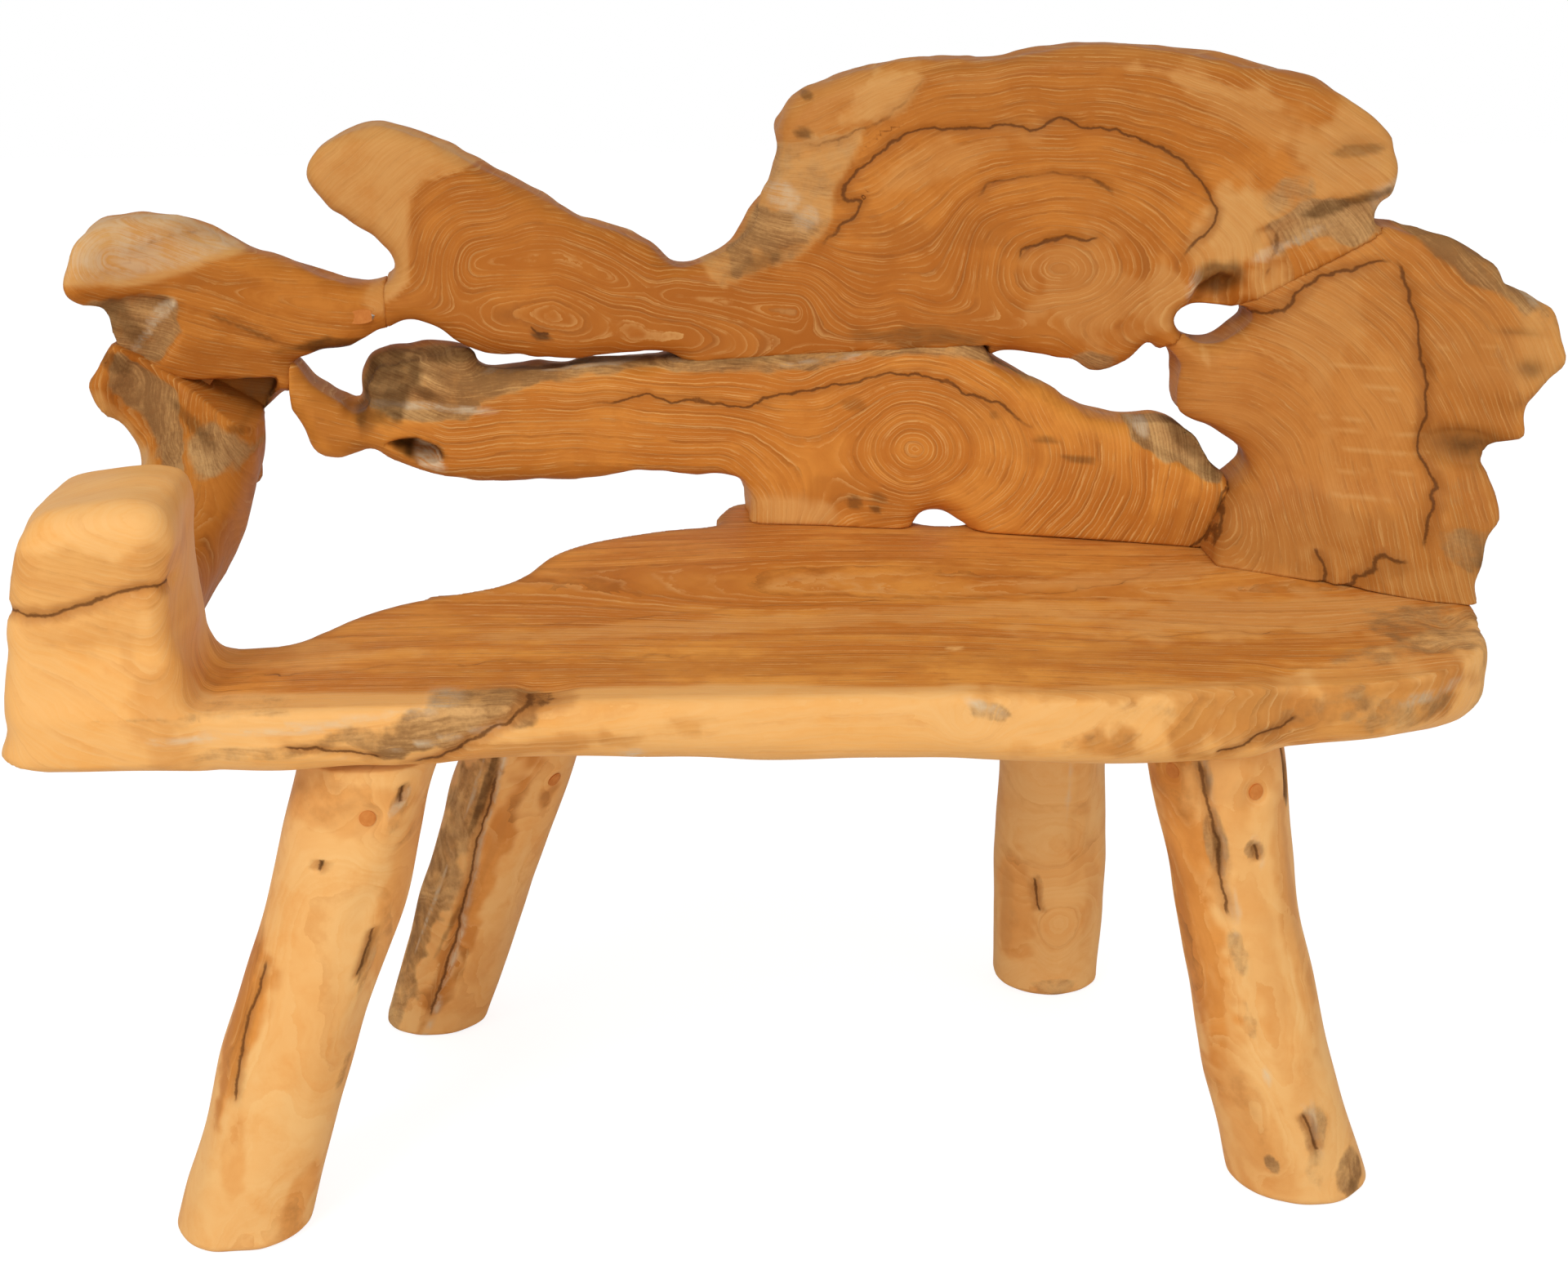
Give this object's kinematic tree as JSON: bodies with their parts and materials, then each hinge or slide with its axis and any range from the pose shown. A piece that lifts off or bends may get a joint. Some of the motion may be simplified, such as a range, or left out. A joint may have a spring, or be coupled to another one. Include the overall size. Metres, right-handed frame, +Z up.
{
  "type": "log bench",
  "caption": "Rustic garden bench of a half-log seat, crooked round log legs and a back of joined, carved root slabs with natural gaps.",
  "frame": {"origin": "middle of the bench's outline on the floor, under the feet", "axes": "+X along the bench to the disc end, +Y towards the back, +Z up"},
  "size_m": [1.1983, 0.5497, 0.8501],
  "materials": {
    "heartwood": "sanded, oiled",
    "sapwood": "peeled, sanded",
    "plug_wood": "sanded flush",
    "dowel_wood": "plain",
    "screw_steel": "zinc plated"
  },
  "bodies": {
    "root": {"seat_log": "heartwood", "post_root": "heartwood", "horn_root": "heartwood", "crest_root": "heartwood", "middle_rail_root": "heartwood", "disc_root": "heartwood", "leg_front_left": "sapwood", "leg_front_right": "sapwood", "leg_rear_left": "sapwood", "leg_rear_right": "sapwood", "leg_loose_tenons": "dowel_wood", "leg_screws": "screw_steel", "leg_screw_plugs": "plug_wood", "horn_screw": "screw_steel", "horn_screw_plug": "plug_wood", "crest_rail_tongues": "dowel_wood", "crest_disc_tongues": "dowel_wood", "rail_disc_tongue": "dowel_wood", "horn_crest_tongue": "dowel_wood", "horn_rail_tongue": "dowel_wood", "rail_seat_tongues": "dowel_wood", "disc_seat_tongues": "dowel_wood", "post_horn_tongue": "dowel_wood", "post_seat_tongue": "dowel_wood"}
  },
  "joints": []
}
